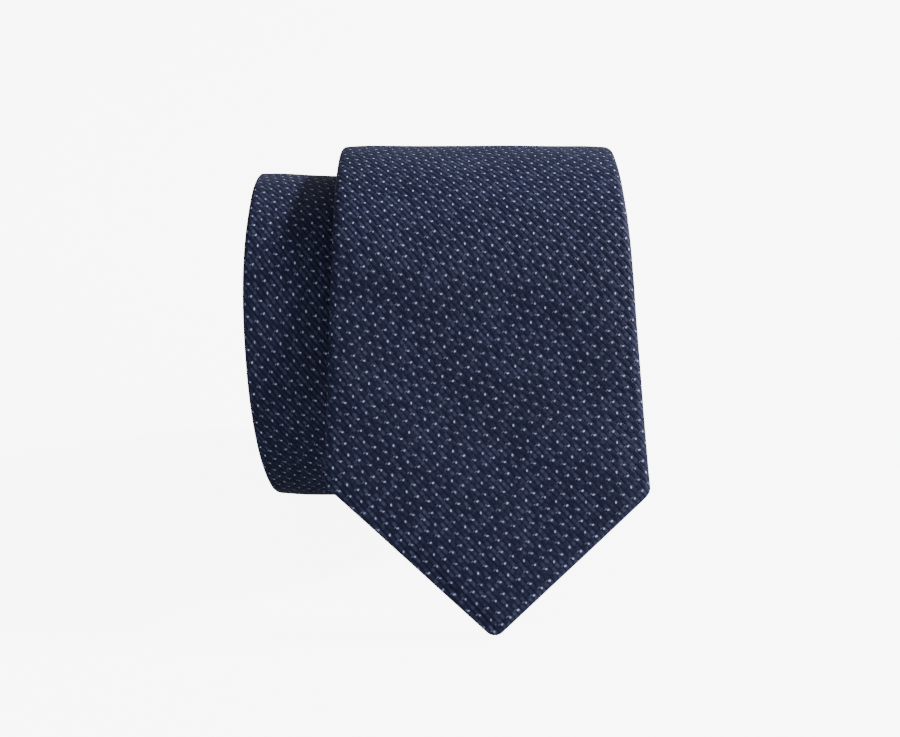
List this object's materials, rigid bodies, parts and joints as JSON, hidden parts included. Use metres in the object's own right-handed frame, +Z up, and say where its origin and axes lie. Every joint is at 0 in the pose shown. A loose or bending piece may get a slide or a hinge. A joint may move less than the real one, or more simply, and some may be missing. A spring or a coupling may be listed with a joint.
{
  "type": "necktie",
  "caption": "Rolled necktie with a pointed wide blade lying over the roll, a narrow inner tail, interlining, lined points and a keeper loop.",
  "frame": {"origin": "on the table, at the middle of the rolled tie's footprint", "axes": "+Z up, the roll's axis along X, the wide blade's point towards -Y, the inner turn showing on the -X side"},
  "size_m": [0.0952, 0.1296, 0.0877],
  "materials": {
    "tie_cloth": "navy woven cloth with fine pale blue dots",
    "lining": "smooth navy lining twill",
    "interlining": "brushed wool interlining",
    "thread": "navy sewing thread",
    "label": "blank woven label",
    "tape": "blank pale care tape"
  },
  "bodies": {
    "roll": {"roll_cloth": "tie_cloth", "roll_interlining": "interlining", "roll_slip_stitch": "thread", "neck_cloth": "tie_cloth", "tail_cloth": "tie_cloth", "tail_tipping": "lining", "tail_bar_tack": "thread", "keeper_loop": "tie_cloth"},
    "turn_back": {"turn_back_cloth": "tie_cloth", "turn_back_interlining": "interlining", "turn_back_slip_stitch": "thread", "blank_label": "label"},
    "turn_front": {"turn_front_cloth": "tie_cloth", "turn_front_interlining": "interlining", "turn_front_slip_stitch": "thread"},
    "blade": {"blade_point_cloth": "tie_cloth", "blade_point_interlining": "interlining", "blade_point_slip_stitch": "thread", "blade_tipping": "lining", "blade_bar_tack": "thread", "care_tag": "tape"}
  },
  "joints": [
    {"name": "unroll_back", "type": "hinge", "parent": "roll", "child": "turn_back", "pos_m": [0.00232, 0.06449, 0.04097], "axis": [-1, 0, 0], "range_deg": [0, 60]},
    {"name": "unroll_top", "type": "hinge", "parent": "turn_back", "child": "turn_front", "pos_m": [0.0082, 0.03145, 0.08611], "axis": [-1, 0, 0], "range_deg": [0, 60]},
    {"name": "blade_lift", "type": "hinge", "parent": "turn_front", "child": "blade", "pos_m": [0.00921, -0.01953, 0.06765], "axis": [-1, 0, 0], "range_deg": [0, 75]}
  ],
  "couplings": [
    {"joint": "unroll_top", "follows": "unroll_back", "ratio": 1}
  ]
}
